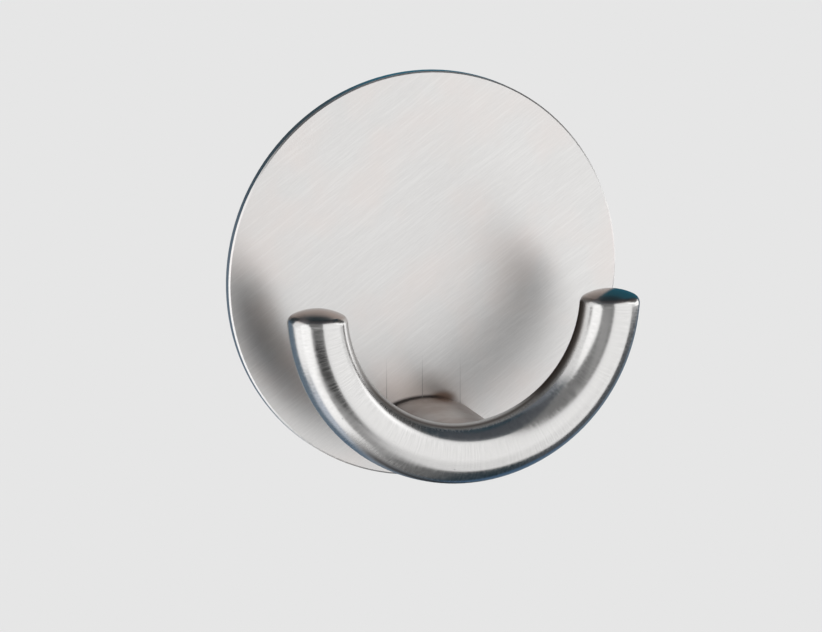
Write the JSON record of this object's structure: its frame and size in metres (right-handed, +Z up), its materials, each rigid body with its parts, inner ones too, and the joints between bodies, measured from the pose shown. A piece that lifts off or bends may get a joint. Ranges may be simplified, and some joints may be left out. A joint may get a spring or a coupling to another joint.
{
  "type": "wall hook",
  "caption": "Round brushed-steel wall plate with a half-ring hook bar standing off it on a short oval stem; sticks to a wall and holds towels, robes or keys.",
  "frame": {"origin": "centre of the face that lies on the wall, the back of the adhesive pad", "axes": "+Y into the wall, the hook reaching out towards -Y, +Z up, +X to the right as seen from the front"},
  "size_m": [0.055, 0.0225, 0.055],
  "materials": {
    "plate_steel": "brushed in fine straight lines across the whole face",
    "bar_steel": "satin polish with fine lines round the bar",
    "stem_steel": "satin, with brown heat tint at the weld on the plate",
    "foam_tape": "closed-cell acrylic foam tape, matt and slightly pebbled"
  },
  "bodies": {
    "root": {"back_plate": "plate_steel", "hook_bar": "bar_steel", "stem": "stem_steel", "adhesive_pad": "foam_tape"}
  },
  "joints": []
}
